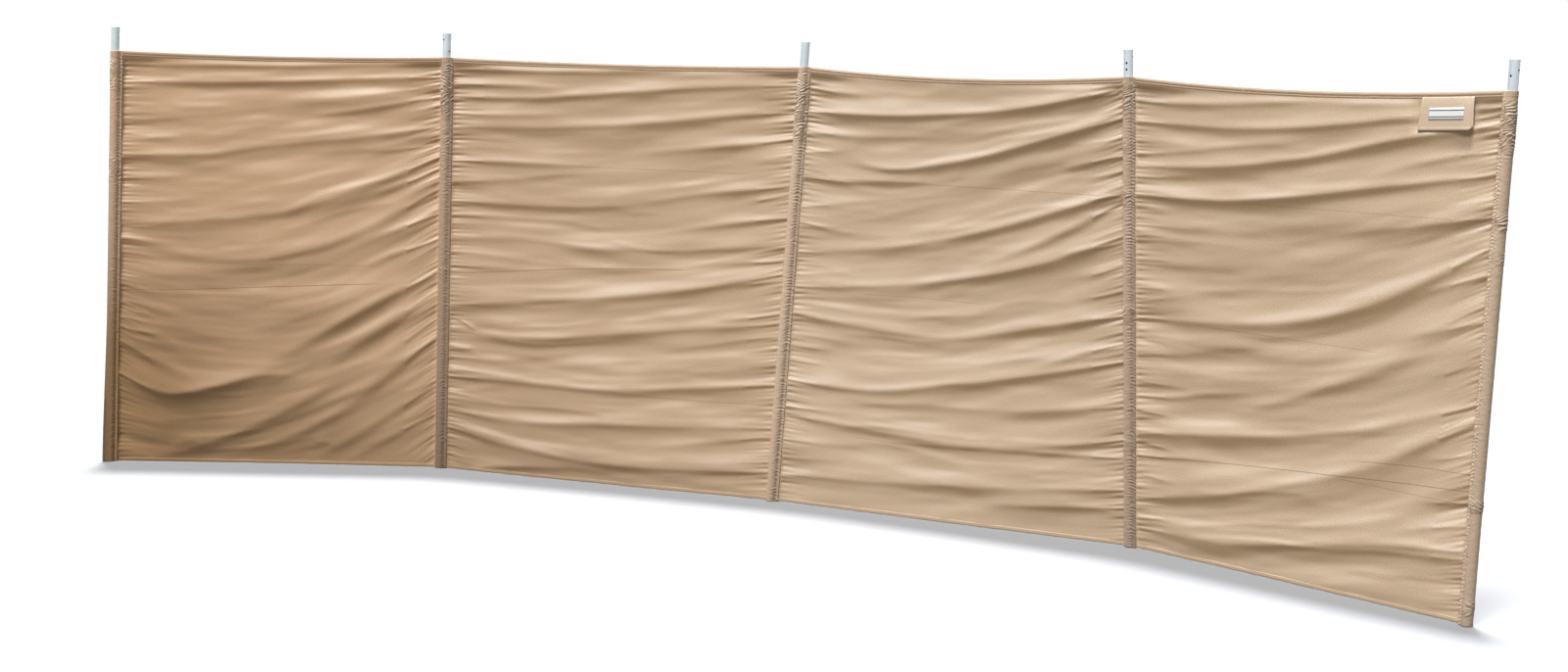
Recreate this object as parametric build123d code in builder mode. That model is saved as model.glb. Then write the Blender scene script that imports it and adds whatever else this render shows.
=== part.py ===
from build123d import *
import os
from math import cos, radians, sin, tan

# Beach windbreak: four bays of cotton canvas sewn in one row, carried on five round steel poles.
# Each pole stands in a sleeve of the canvas, and the bays swing about the poles.
# The ground is z = 0. Pole 3, the middle one, has its foot at the origin, +X runs along the row
# to the right of someone who faces the side with the label, and +Y goes away from them.

# The row in plan, from pole 1 on the left to pole 5 on the right
BAY_SPAN = [1132.0, 1242.0, 1249.0, 1220.0]   # from foot to foot
BAY_ANGLE = [0.0, -23.3, -30.5, -51.5]        # plan angle of each bay from +X, degrees
POLE_LEAN = [1.4, 0.7, 3.1, -2.2, 1.8]        # lean of each pole towards +X, degrees
ORIGIN_POLE = 3

# Poles: steel tube, with a plastic cap and a foot plug in its ends
POLE_OD = 28.0
POLE_WALL = 1.2
POLE_ABOVE = 82.0          # how far a pole and its cap stand out above the canvas
PLUG_FIT = 0.1             # clearance round a plug in the tube
CAP_HEAD = 4.0
CAP_PLUG = 12.0
CAP_ROUND = 1.5
FOOT_HEAD = 6.0
FOOT_PLUG = 30.0

# Cross holes for line hooks, one wall deep: for each pole, how far below the tube's end and
# which way round they face, in degrees from the front towards +X
HOLE_DIAMETER = 6.5
CROSS_HOLES = [
    [(36.0, 90.0)],
    [(20.0, -43.0), (58.0, 47.0)],
    [(60.0, 75.0)],
    [(19.0, 60.0), (37.0, -30.0), (56.0, -30.0)],
    [(25.0, 43.0), (40.0, -47.0)],
]

# Canvas: closed solids that hold the space of the folded cloth
CANVAS_TOP = 1400.0        # height of the canvas at the poles
GROUND_GAP = 6.0           # below the canvas
SLEEVE_FIT = 0.2           # round a pole in its sleeve
SLEEVE_WALL = 1.3
SEAM_BAND = 10.0           # width of the stitched band beside a sleeve
BAND_THICK = 4.0
PANEL_THICK = 6.0
HEM_THICK = 6.0
TOP_HEM = 16.0
BOTTOM_HEM = 12.0
TOP_SAG = [8.0, 8.0, 20.0, 20.0]   # of each bay's top edge, half way between the poles
SEWN_GAP = 0.3             # between pieces of canvas that are sewn together
SWING_GAP = 0.5            # between a sleeve and the bay that swings about it
STATIONS = [0.0, 0.25, 0.5, 0.75, 1.0]

# Label flap, hung from the top hem of the last bay, with a plain woven label on it
FLAP_WIDTH = 148.0
FLAP_DROP = 88.0
FLAP_THICK = 1.6
FLAP_FROM_EDGE = 79.0      # from the panel's right edge
LABEL_WIDTH = 96.0
LABEL_HEIGHT = 30.0
LABEL_THICK = 0.8
LABEL_BELOW_HEM = 28.0

POLES = range(1, len(POLE_LEAN) + 1)
BAYS = range(1, len(BAY_SPAN) + 1)
POLE_RADIUS = POLE_OD / 2
BORE_RADIUS = POLE_RADIUS - POLE_WALL
TUBE_START = FOOT_HEAD
TUBE_END = CANVAS_TOP + POLE_ABOVE - CAP_HEAD
SLEEVE_RADIUS = POLE_RADIUS + SLEEVE_FIT + SLEEVE_WALL
BAND_START = SLEEVE_RADIUS + SWING_GAP
BAND_END = BAND_START + SEAM_BAND

os.makedirs("parts", exist_ok=True)


def save(piece, name):
    """Label a finished piece and write it to its own file."""
    piece.part.label = name
    export_step(piece.part, "parts/" + name + ".step")


# ---------------------------------------------------------------- the row in plan

def bay_direction(bay):
    """Unit vector along a bay, from its left pole to its right one."""
    angle = radians(BAY_ANGLE[bay - 1])
    return Vector(cos(angle), sin(angle), 0)


def pole_foot(pole):
    """Where a pole's axis meets the ground."""
    foot = Vector(0, 0, 0)
    for bay in range(ORIGIN_POLE, pole):
        foot += bay_direction(bay) * BAY_SPAN[bay - 1]
    for bay in range(pole, ORIGIN_POLE):
        foot -= bay_direction(bay) * BAY_SPAN[bay - 1]
    return foot


def pole_plane(pole, along):
    """Plane square to a pole, so far along its axis from the ground."""
    lean = radians(POLE_LEAN[pole - 1])
    axis = Vector(sin(lean), 0, cos(lean))
    return Plane(origin=pole_foot(pole) + axis * along, x_dir=(cos(lean), 0, -sin(lean)), z_dir=axis)


def beside_pole(bay, beside, height):
    """Point on a line beside one of a bay's poles: beside is (0 left or 1 right, offset along the bay)."""
    side, offset = beside
    pole = bay + side
    shift = Vector(height * tan(radians(POLE_LEAN[pole - 1])), 0, height)
    return pole_foot(pole) + shift + bay_direction(bay) * offset


# ---------------------------------------------------------------- poles

for pole in POLES:
    with BuildPart() as tube:
        with BuildSketch(pole_plane(pole, TUBE_START)):
            Circle(POLE_RADIUS)
            Circle(BORE_RADIUS, mode=Mode.SUBTRACT)
        extrude(amount=TUBE_END - TUBE_START)
        for below, facing in CROSS_HOLES[pole - 1]:
            level = pole_plane(pole, TUBE_END - below)
            outward = level.x_dir * sin(radians(facing)) - level.y_dir * cos(radians(facing))
            with BuildSketch(Plane(origin=level.origin, x_dir=level.z_dir, z_dir=outward)):
                Circle(HOLE_DIAMETER / 2)
            extrude(amount=POLE_OD, mode=Mode.SUBTRACT)
    save(tube, f"pole_{pole}")

    with BuildPart() as cap:
        with BuildSketch(pole_plane(pole, TUBE_END)):
            Circle(POLE_RADIUS)
        extrude(amount=CAP_HEAD)
        rim = cap.edges().filter_by(GeomType.CIRCLE).sort_by(Axis.Z)[-1]
        fillet(rim, radius=CAP_ROUND)
        with BuildSketch(pole_plane(pole, TUBE_END)):
            Circle(BORE_RADIUS - PLUG_FIT)
        extrude(amount=-CAP_PLUG)
    save(cap, f"pole_cap_{pole}")

    # The foot is cut level with the ground, however the pole leans
    with BuildPart() as foot_plug:
        with BuildSketch(pole_plane(pole, -FOOT_HEAD)):
            Circle(POLE_RADIUS)
        extrude(amount=2 * FOOT_HEAD)
        with BuildSketch(pole_plane(pole, FOOT_HEAD)):
            Circle(BORE_RADIUS - PLUG_FIT)
        extrude(amount=FOOT_PLUG)
        split(bisect_by=Plane.XY, keep=Keep.TOP)
    save(foot_plug, f"foot_plug_{pole}")


# ---------------------------------------------------------------- canvas

def canvas_point(bay, edges, share, height):
    """Point in the canvas of a bay, at a share of the way between two lines beside its poles."""
    left, right = (beside_pole(bay, edge, height) for edge in edges)
    return left * (1 - share) + right * share


def canvas_strip(bay, edges, low, high, thick, sag_low=0.0, sag_high=0.0, front=0.0, shares=STATIONS):
    """Closed strip of canvas in a bay, from low to high, its edges sagging half way between the poles.

    front moves it out of the middle of the canvas, towards the side with the label.
    """
    across = Vector(0, 0, 1).cross(bay_direction(bay))
    with BuildPart() as strip:
        for share in shares:
            drop = 4 * share * (1 - share)
            bottom = canvas_point(bay, edges, share, low - sag_low * drop)
            rise = canvas_point(bay, edges, share, high - sag_high * drop) - bottom
            section = Plane(origin=bottom, x_dir=across, z_dir=across.cross(rise))
            lean = rise.dot(section.x_dir)
            height = rise.dot(section.y_dir)
            face = -front - thick / 2
            back = -front + thick / 2
            with BuildSketch(section):
                with BuildLine():
                    Polyline((face, 0), (back, 0), (back + lean, height), (face + lean, height), close=True)
                make_face()
        loft(ruled=True)
    return strip


for pole in POLES:
    with BuildPart() as sleeve:
        with BuildSketch(pole_plane(pole, GROUND_GAP)):
            Circle(SLEEVE_RADIUS)
            Circle(POLE_RADIUS + SLEEVE_FIT, mode=Mode.SUBTRACT)
        extrude(amount=CANVAS_TOP - GROUND_GAP)
    save(sleeve, f"sleeve_{pole}")

    # The band is stitched on the right of a sleeve, and on the left of the last one
    if pole in BAYS:
        band_bay, band_edges = pole, [(0, BAND_START), (0, BAND_END)]
    else:
        band_bay, band_edges = pole - 1, [(1, -BAND_END), (1, -BAND_START)]
    band = canvas_strip(band_bay, band_edges, GROUND_GAP, CANVAS_TOP, BAND_THICK, shares=[0.0, 1.0])
    save(band, f"seam_band_{pole}")

PANEL_LOW = GROUND_GAP + BOTTOM_HEM
PANEL_HIGH = CANVAS_TOP - TOP_HEM

for bay in BAYS:
    right_end = SLEEVE_RADIUS + SWING_GAP if bay < BAYS[-1] else BAND_END + SEWN_GAP
    panel_edges = [(0, BAND_END + SEWN_GAP), (1, -right_end)]
    sag = TOP_SAG[bay - 1]

    panel = canvas_strip(
        bay, panel_edges, PANEL_LOW + SEWN_GAP, PANEL_HIGH - SEWN_GAP, PANEL_THICK, sag_high=sag
    )
    save(panel, f"panel_{bay}")

    top_hem = canvas_strip(
        bay, panel_edges, PANEL_HIGH, CANVAS_TOP, HEM_THICK, sag_low=sag, sag_high=sag
    )
    save(top_hem, f"top_hem_{bay}")

    bottom_hem = canvas_strip(bay, panel_edges, GROUND_GAP, PANEL_LOW, HEM_THICK, shares=[0.0, 1.0])
    save(bottom_hem, f"bottom_hem_{bay}")


# ---------------------------------------------------------------- label flap

def hang_on_last_bay(name, from_right, width, below_hem, height, thick, front):
    """Flat piece of cloth that hangs on the front of the last panel, beside its right edge."""
    ends = [canvas_point(BAYS[-1], panel_edges, share, PANEL_HIGH) for share in (0.0, 1.0)]
    panel_width = (ends[1] - ends[0]).length
    shares = [1 - (from_right + width) / panel_width, 1 - from_right / panel_width]
    top = PANEL_HIGH - SEWN_GAP - below_hem
    cloth = canvas_strip(
        BAYS[-1], panel_edges, top - height, top, thick, sag_low=sag, sag_high=sag, front=front, shares=shares
    )
    save(cloth, name)


flap_front = PANEL_THICK / 2 + SEWN_GAP + FLAP_THICK / 2
hang_on_last_bay("label_flap", FLAP_FROM_EDGE, FLAP_WIDTH, 0, FLAP_DROP, FLAP_THICK, flap_front)

label_front = flap_front + FLAP_THICK / 2 + PLUG_FIT + LABEL_THICK / 2
label_from_edge = FLAP_FROM_EDGE + (FLAP_WIDTH - LABEL_WIDTH) / 2
hang_on_last_bay(
    "woven_label", label_from_edge, LABEL_WIDTH, LABEL_BELOW_HEM, LABEL_HEIGHT, LABEL_THICK, label_front
)
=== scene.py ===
from math import cos, pi, radians, sin

import bpy
import numpy as np
from mathutils import Matrix, Vector


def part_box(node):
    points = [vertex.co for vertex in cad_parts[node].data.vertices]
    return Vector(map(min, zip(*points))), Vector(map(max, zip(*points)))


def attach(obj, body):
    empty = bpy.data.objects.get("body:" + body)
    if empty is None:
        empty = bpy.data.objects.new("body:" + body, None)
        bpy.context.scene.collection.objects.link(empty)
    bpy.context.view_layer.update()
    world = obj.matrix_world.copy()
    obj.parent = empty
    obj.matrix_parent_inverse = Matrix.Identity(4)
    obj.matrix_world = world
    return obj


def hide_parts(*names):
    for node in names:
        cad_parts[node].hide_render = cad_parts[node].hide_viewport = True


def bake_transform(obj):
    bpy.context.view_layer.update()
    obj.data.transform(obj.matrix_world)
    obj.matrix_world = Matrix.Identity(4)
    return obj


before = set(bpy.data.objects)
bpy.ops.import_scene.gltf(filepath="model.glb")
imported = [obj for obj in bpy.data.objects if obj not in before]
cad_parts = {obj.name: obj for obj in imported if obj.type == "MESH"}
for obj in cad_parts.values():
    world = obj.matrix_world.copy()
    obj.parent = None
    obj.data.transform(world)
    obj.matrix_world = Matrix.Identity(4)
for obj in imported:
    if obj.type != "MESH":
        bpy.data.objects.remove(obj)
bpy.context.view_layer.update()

# ---------------- poles
# Thin steel tubes with a pale zinc finish, dulled and scuffed by sand, with cross holes near the top for
# line hooks. A moulded cap closes each top and a moulded plug each foot. Poles and bays count from the left.

POLES = range(1, 6)


def add_node(tree, kind, inputs=(), **settings):
    """New node in a tree, laid out after the others; each of its inputs takes a socket or a plain value."""
    node = tree.nodes.new(kind)
    row, column = divmod(len(tree.nodes), 8)
    node.location = (220 * column, -320 * row)
    for name, value in settings.items():
        setattr(node, name, value)
    for label, value in dict(inputs).items():
        if isinstance(value, bpy.types.NodeSocket):
            tree.links.new(value, node.inputs[label])
        else:
            node.inputs[label].default_value = value
    return node


def math_node(tree, operation, *values):
    """Math node whose inputs are sockets or numbers."""
    return add_node(tree, "ShaderNodeMath", enumerate(values), operation=operation).outputs[0]


def mix_colours(tree, factor, first, second):
    """Mix of two colours, sockets or plain, at the inputs that the node keeps for colours."""
    inputs = {0: factor, 6: first, 7: second}
    return add_node(tree, "ShaderNodeMix", inputs, data_type="RGBA").outputs[2]


def noise_node(tree, vector, scale, detail):
    """Noise at a scale per metre, or at one for each axis."""
    if isinstance(scale, tuple):
        vector = add_node(tree, "ShaderNodeMapping", {"Vector": vector, "Scale": scale}).outputs["Vector"]
        scale = 1.0
    inputs = {"Vector": vector, "Scale": scale, "Detail": detail, "Roughness": 0.6}
    return add_node(tree, "ShaderNodeTexNoise", inputs).outputs["Fac"]


def shade(tree, value, low, high):
    """Brings a value between two others to the range 0 to 1, with soft ends."""
    inputs = {"Value": value, "From Min": low, "From Max": high}
    return add_node(tree, "ShaderNodeMapRange", inputs, interpolation_type="SMOOTHSTEP").outputs["Result"]


def new_group(name, inputs, outputs):
    """Node group with float inputs and outputs; returns it with what its inputs give."""
    tree = bpy.data.node_groups.new(name, "ShaderNodeTree")
    for label, value in inputs.items():
        socket = tree.interface.new_socket(label, in_out="INPUT", socket_type="NodeSocketFloat")
        socket.default_value = value
    for label in outputs:
        tree.interface.new_socket(label, in_out="OUTPUT", socket_type="NodeSocketFloat")
    return tree, add_node(tree, "NodeGroupInput").outputs


def new_material(name, inputs):
    """Material with one Principled shader, with plain values for its inputs; returns tree and shader too."""
    material = bpy.data.materials.new(name)
    material.use_nodes = True
    tree = material.node_tree
    shader = tree.nodes["Principled BSDF"]
    for label, value in inputs.items():
        shader.inputs[label].default_value = value
    return material, tree, shader


def colour_and_relief(tree, shader, tone, height, distance, strength):
    """Gives a shader its colour, and small relief from a height in shares of a distance in metres."""
    tree.links.new(tone, shader.inputs["Base Color"])
    node = add_node(tree, "ShaderNodeBump", {"Height": height, "Distance": distance, "Strength": strength})
    tree.links.new(node.outputs["Normal"], shader.inputs["Normal"])


def give_material(piece, *materials):
    """Puts materials in a piece's slots."""
    piece.data.materials.clear()
    for material in materials:
        piece.data.materials.append(material)


scuffs, given = new_group("sand_scuffs", {"Amount": 0.5}, ["Mask", "Mottle"])
coordinates = add_node(scuffs, "ShaderNodeTexCoord").outputs["Object"]
mottle = noise_node(scuffs, coordinates, 45.0, 3.0)
streaks = noise_node(scuffs, coordinates, (420.0, 420.0, 28.0), 4.0)
marks = shade(scuffs, streaks, 0.58, 0.72)
mask = math_node(scuffs, "MULTIPLY", marks, shade(scuffs, mottle, 0.40, 0.65))
mask = math_node(scuffs, "MULTIPLY", mask, given["Amount"])
add_node(scuffs, "NodeGroupOutput", {"Mask": mask, "Mottle": mottle})


def scuffed_material(name, inputs, amount, relief, dull, pale, scuffed):
    """Finish mottled between two tones, with a third where sand has scuffed it; returns its mottle too."""
    material, tree, shader = new_material(name, inputs)
    wear = add_node(tree, "ShaderNodeGroup", {"Amount": amount}, node_tree=scuffs).outputs
    tone = mix_colours(tree, wear["Mottle"], dull, pale)
    tone = mix_colours(tree, wear["Mask"], tone, scuffed)
    colour_and_relief(tree, shader, tone, wear["Mask"], 0.0002, relief)
    return material, tree, shader, wear["Mottle"]


zinc_steel, tree, shader, mottle = scuffed_material(
    "zinc_steel", {"Metallic": 0.35}, amount=0.55, relief=0.6,
    dull=(0.51, 0.57, 0.59, 1), pale=(0.67, 0.73, 0.77, 1), scuffed=(0.34, 0.37, 0.36, 1),
)
tree.links.new(math_node(tree, "MULTIPLY_ADD", mottle, 0.25, 0.30), shader.inputs["Roughness"])
plug_plastic = scuffed_material(
    "plug_plastic", {"Roughness": 0.5}, amount=0.8, relief=0.5,
    dull=(0.70, 0.72, 0.70, 1), pale=(0.82, 0.83, 0.81, 1), scuffed=(0.52, 0.52, 0.49, 1),
)[0]

for pole in POLES:
    give_material(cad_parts[f"pole_{pole}"], zinc_steel)
    give_material(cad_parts[f"pole_cap_{pole}"], plug_plastic)
    give_material(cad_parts[f"foot_plug_{pole}"], plug_plastic)

# ---------------- canvas
# Plain woven cotton in a warm tan, about one thread to the millimetre. Its yarn is a little uneven, the
# upper sides of its folds are painted paler as highlight and their undersides darker as shade, the left end
# of the row is browner, and the cloth is darker and warmer towards the low left corner.

weave, given = new_group("plain_weave", {"Pitch": 0.001}, ["Height", "Yarn"])
cloth_map = add_node(weave, "ShaderNodeUVMap", uv_map="cloth").outputs["UV"]
split = add_node(weave, "ShaderNodeSeparateXYZ", {0: cloth_map}).outputs
ribs = []
for axis in ("X", "Y"):
    turns = math_node(weave, "DIVIDE", split[axis], given["Pitch"])
    wave = math_node(weave, "SINE", math_node(weave, "MULTIPLY", turns, pi))
    ribs.append(math_node(weave, "ABSOLUTE", wave))
relief = math_node(weave, "MULTIPLY", *ribs)
yarn = noise_node(weave, cloth_map, (60.0, 900.0, 1.0), 2.0)
cross = noise_node(weave, cloth_map, (900.0, 50.0, 1.0), 2.0)
slubs = shade(weave, noise_node(weave, cloth_map, 330.0, 3.0), 0.25, 0.75)
yarn = math_node(weave, "MULTIPLY_ADD", slubs, 2.0, math_node(weave, "ADD", yarn, cross))
add_node(weave, "NodeGroupOutput", {"Height": relief, "Yarn": math_node(weave, "DIVIDE", yarn, 4.0)})


def point_value(tree, name):
    """A value that is kept at a piece's points."""
    return add_node(tree, "ShaderNodeAttribute", attribute_name=name).outputs["Fac"]


weather = new_group("tints_and_painted_light", {}, ["Low left darkening", "Brown", "Painted shade", "Painted highlight"])[0]
place = add_node(weather, "ShaderNodeTexCoord").outputs["Object"]
split = add_node(weather, "ShaderNodeSeparateXYZ", {0: place}).outputs
# The cloth is darker and warmer at the low left corner of the row, and this fades upwards and to the right
rise = math_node(weather, "MULTIPLY_ADD", split["X"], 0.42, split["Z"])
rise = math_node(weather, "MULTIPLY_ADD", noise_node(weather, place, 2.2, 3.0), 0.35, rise)
faded = math_node(weather, "MULTIPLY", shade(weather, rise, 0.55, -0.65), 0.56)
lowest = shade(weather, split["Z"], 0.80, 0.30)
corner = math_node(weather, "MULTIPLY", shade(weather, split["X"], -1.72, -2.22), lowest)
# Painted shade where the cloth faces down and a painted highlight where it faces up, as from light above
upward = point_value(weather, "upward")
add_node(weather, "NodeGroupOutput", {
    "Low left darkening": math_node(weather, "MULTIPLY_ADD", corner, 0.60, faded),
    "Brown": shade(weather, split["X"], 0.4, -2.2),
    "Painted shade": shade(weather, upward, 0.03, -0.30),
    "Painted highlight": shade(weather, upward, 0.02, 0.34),
})


def canvas_material(name, depth=1.0, green=1.0, blue=1.0, folds=False, painted_sides=False):
    """Canvas in its own shade of tan, where a depth over 1 is lighter.

    It takes painted shade where it faces down and a painted highlight where it faces up. folds adds thin
    storage creases, whose shade is painted as a dark line; the other flag multiplies in the light and shade
    painted at a sleeve's points.
    """
    material, tree, shader = new_material(name, {"Roughness": 0.88, "Sheen Weight": 0.1})
    state = add_node(tree, "ShaderNodeGroup", node_tree=weather).outputs
    tone = (0.530, 0.376 * green, 0.248 * blue, 1)
    # The painted shade and highlight, the browner left end and the darker low left corner, in turn
    for change, changed in (
        ("Brown", (0.465, 0.306 * green, 0.186 * blue, 1)),
        ("Painted shade", (0.475, 0.300 * green, 0.160 * blue, 1)),
        ("Painted highlight", (0.585, 0.462 * green, 0.358 * blue, 1)),
        ("Low left darkening", (0.262, 0.152, 0.068, 1)),
    ):
        tone = mix_colours(tree, state[change], tone, changed)
    cloth = add_node(tree, "ShaderNodeGroup", {"Pitch": 0.0011}, node_tree=weave).outputs
    yarn = math_node(tree, "MULTIPLY_ADD", cloth["Yarn"], 0.75 * depth, 0.625 * depth)
    # A sleeve's painted light and shade, kept at its points
    if painted_sides:
        yarn = math_node(tree, "MULTIPLY", yarn, point_value(tree, "painted_sleeve_light"))
    tone = add_node(tree, "ShaderNodeVectorMath", {0: tone, "Scale": yarn}, operation="SCALE").outputs[0]
    height = cloth["Height"]
    # Each storage crease gets a small groove and a dark line painted along it as its shade
    if folds:
        away = math_node(tree, "ABSOLUTE", point_value(tree, "storage_line"))
        near = shade(tree, away, 0.0020, 0.0003)
        near = math_node(tree, "MULTIPLY", near, point_value(tree, "line_strength"))
        tone = mix_colours(tree, near, tone, (0.290, 0.168, 0.086, 1))
        height = math_node(tree, "MULTIPLY_ADD", near, -1.5, height)
    colour_and_relief(tree, shader, tone, height, 0.00025, 0.5)
    return material


# Each bay is another length of cloth, and they are not quite the same shade: depth, green and blue. The
# depth is partly painted light and shade too: it evens out how brightly the lamps light bays that face them
# at different angles.
canvas_shades = {1: (1.09, 0.97, 0.92), 2: (0.96, 0.99, 0.97), 3: (0.99, 1.03, 1.04), 4: (1.05, 1.03, 1.03)}
tan_canvas = {
    bay: canvas_material(f"tan_canvas_{bay}", *values, folds=True) for bay, values in canvas_shades.items()
}

# ---------------- panels
# One width of canvas in each bay, gathered into its seams, so that it puckers beside every pole and hangs
# in soft folds that rise to the right. Each piece of cloth is placed from the feet and heads of the poles
# beside it, so that it follows their lean.

BAYS = POLES[:-1]
LAST_BAY = BAYS[-1]
CLOTH_TOP = 1.400
GROUND_GAP = 0.001
BAND_END = 0.026       # from a pole's axis to the edge of its sewn band
SLEEVE_EDGE = 0.0153   # from a pole's axis to the cloth on its other side
TOP_HEM = 0.016
BOTTOM_HEM = 0.012
TOP_SAG = {1: 0.008, 2: 0.008, 3: 0.020, 4: 0.020}
FLAP_WIDTH = 0.148     # the label flap, which the cloth lies flat behind
FLAP_DROP = 0.088
FLAP_FROM_EDGE = 0.079
MM = 0.001
FOLD_STRENGTH = 1.3    # of the depths that are given with the folds
PUCKER_REACH = 0.20    # from a seam
PUCKER_DEPTH = 0.21    # as a share of the gap between two puckers

pole_feet = []
pole_leans = []
for pole in POLES:
    plug, head = (sum(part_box(f"{part}_{pole}"), Vector()) / 2 for part in ("foot_plug", "pole_cap"))
    lean = (head - plug) / (head.z - plug.z)
    pole_feet.append(np.array(plug - lean * plug.z))
    pole_leans.append(np.array(lean))


def pole_point(pole, height):
    """Point on a pole's axis; the height may be an array."""
    return pole_feet[pole - 1] + np.multiply.outer(height, pole_leans[pole - 1])


def bay_directions(bay):
    """Unit vectors of a bay: along the row to the right, and out of the cloth to the front."""
    along = pole_feet[bay] - pole_feet[bay - 1]
    along = along / np.linalg.norm(along)
    return along, np.array((along[1], -along[0], 0.0))


# Each fold is listed: where it starts and ends along the bay, its height at five stations in
# hundredths of the cloth's, its depth at three stations in millimetres, and its width in millimetres
bay_folds = {}
bay_folds[1] = [
    (0, 1, (96.5, 96.6, 96.9, 97.6, 98.2), (3, 6, 3), 9),
    (0, 1, (92.5, 92.4, 93, 94, 95), (4, 6, 4), 9),
    (0.45, 1, (88.3, 88.8, 89.8, 91.2, 92.5), (0, 4, 4), 12),
    (0, 0.45, (82.9, 83.3, 84.2, 85, 85.5), (3, 2, 0), 14),
    (0.55, 1, (84, 85.4, 86.8, 88.6, 90.4), (0, 5, 5), 11),
    (0, 0.3, (78.6, 78.6, 78.9, 79.3, 79.8), (3, 2, 0), 10),
    (0, 1, (74.6, 74.8, 77.5, 79.8, 82.8), (5, 4, 4), 13),
    (0.7, 1, (76, 76.5, 77, 77.7, 78.6), (0, 3, 3), 9),
    (0, 0.25, (69, 69, 69.2, 69.5, 70), (2, 1.5, 0), 10),
    (0, 0.3, (63, 63.2, 63.5, 64, 64.5), (2.5, 2, 0), 11),
    (0, 1, (57.9, 58.6, 61, 67.3, 75.4), (3, 6, 6), 18),
    (0.75, 1, (64.5, 66.5, 68.5, 70.5, 73), (0, 4, 4), 9),
    (0.03, 1, (52.5, 49.4, 50.6, 57, 67.8), (1, 4, 4), 14),
    (0, 0.7, (44.6, 45.2, 46.8, 48.6, 50.5), (2, 3, 0), 22),
    (0.7, 1, (51.5, 54.5, 57, 59.5, 62.1), (0, 5, 5), 10),
    (0.7, 1, (46, 48.6, 51.4, 53.4, 55.7), (0, 4, 4), 9),
    (0.3, 0.95, (29.5, 33, 37.5, 42.5, 47), (0, 5, 2), 20),
    (0.42, 1, (22.5, 28.5, 35, 41.5, 47.5), (1, 8, 6), 15),
    (0.6, 0.97, (20.5, 26, 31.4, 36.5, 40.5), (1, 5, 3), 20),
    (0.8, 1, (24.5, 27.5, 30.5, 33.5, 36.5), (0, 4, 4), 10),
    (0.85, 1, (33, 35, 37, 39, 41.5), (0, 3, 3), 8),
    (0, 0.12, (38, 37, 36.3, 35.8, 35), (2, 3, 0), 9),
    (0, 0.2, (32.9, 31.9, 31.2, 29.8, 27.5), (4, 6, 1), 11),
    (0, 0.26, (29.3, 26.6, 24, 21.8, 19.3), (5, 8, 3), 14),
    (0, 0.62, (21.4, 16.3, 18.2, 21.4, 20.3), (10, 17, 3), 18),
    (0, 0.5, (12, 9, 8, 9, 12), (3, 4, 1), 25),
    (0.08, 0.75, (0, 3.3, 8.3, 15, 23), (6, 7, 4), 16),
    (0.3, 1, (1.4, 4.2, 10.5, 20.5, 32), (3, 7, 5), 16),
    (0.58, 1, (0, 4.2, 8.8, 14.5, 20.5), (3, 6, 4), 13),
    (0.7, 1, (0, 3.2, 6.6, 10, 13), (2, 5, 4), 11),
    (0.17, 0.27, (2.5, 4, 5.2, 4.8, 4.5), (2, 4, 2), 7),
    (0.6, 0.68, (3.5, 4.2, 5.5, 5, 4), (2, 4, 2), 7),
]
bay_folds[2] = [
    (0, 1, (97.3, 97.3, 98, 99, 99.8), (5, 6, 2), 8),
    (0, 0.38, (93.9, 93.9, 93.8, 93.7, 93.8), (5, 4, 0), 8),
    (0, 1, (90.9, 91.1, 92.9, 94.6, 95.8), (5, 5, 3), 10),
    (0, 0.4, (87.1, 87, 87.1, 87.4, 88), (3, 2.5, 0), 10),
    (0, 1, (84.1, 84.2, 85.6, 87.8, 90.1), (3, 5, 6), 13),
    (0, 0.3, (81.8, 81.5, 81.3, 81.2, 81.3), (2, 2, 0), 12),
    (0.5, 1, (79, 80, 81.2, 82.5, 84.1), (0, 4, 5), 13),
    (0, 0.55, (76.3, 76.3, 76.2, 76.1, 76), (5, 3, 0), 8),
    (0, 0.5, (71.4, 71.8, 73, 74.5, 75.8), (3, 2.5, 0), 11),
    (0, 1, (66.8, 66.2, 67.1, 70.8, 73.6), (4, 4, 6), 14),
    (0.85, 1, (69, 69.8, 70.5, 71.2, 72), (0, 3, 3), 7),
    (0, 0.2, (63.5, 63.4, 63.3, 63.2, 63), (2.5, 2, 0), 9),
    (0.55, 1, (60.5, 61.8, 63.5, 65.2, 66.8), (0, 4, 4), 12),
    (0, 1, (58.2, 57.8, 56.9, 58.2, 61.4), (4, 4, 2), 18),
    (0.78, 1, (54.5, 55.2, 56, 56.4, 56.8), (0, 4, 3), 9),
    (0, 0.5, (51.4, 51.2, 51.2, 51.1, 51), (3, 1.5, 0), 9),
    (0.85, 1, (50, 50.7, 51.4, 52, 52.5), (0, 3, 3), 7),
    (0.1, 0.5, (47, 46.8, 47, 47.4, 47.8), (0, 2, 0), 10),
    (0, 1, (41.4, 43.3, 45.7, 48.9, 53.9), (6, 7, 6), 16),
    (0.8, 1, (41.5, 42.3, 43.1, 43.9, 44.7), (0, 4, 4), 7),
    (0, 0.09, (38.5, 38.2, 37.5, 36.5, 35.5), (2, 4, 3), 6),
    (0.05, 1, (34.9, 34.5, 37, 39.6, 42.3), (8, 7, 5), 15),
    (0.6, 1, (33.2, 34.5, 36.2, 38, 39.6), (0, 3, 4), 10),
    (0, 0.085, (31.3, 31.1, 31, 31, 31.1), (4, 4, 2), 7),
    (0, 0.3, (28.8, 28.6, 28.4, 28.4, 28.5), (3, 2, 0), 10),
    (0, 1, (23.7, 23.5, 23.2, 25.3, 28), (7, 6, 4), 12),
    (0, 0.25, (20, 19, 18, 17, 16.2), (3, 3, 0), 16),
    (0, 1, (15, 13.4, 14.7, 15.8, 17.5), (6, 7, 4), 15),
    (0.6, 1, (9.8, 10.8, 12.2, 13.8, 15.6), (0, 4, 4), 12),
    (0, 1, (10.7, 6.7, 4.6, 5.1, 6.5), (6, 8, 4), 16),
    (0.03, 0.45, (-0.5, 1, 2.1, 2.6, 3), (6, 6, 1), 10),
]
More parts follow.
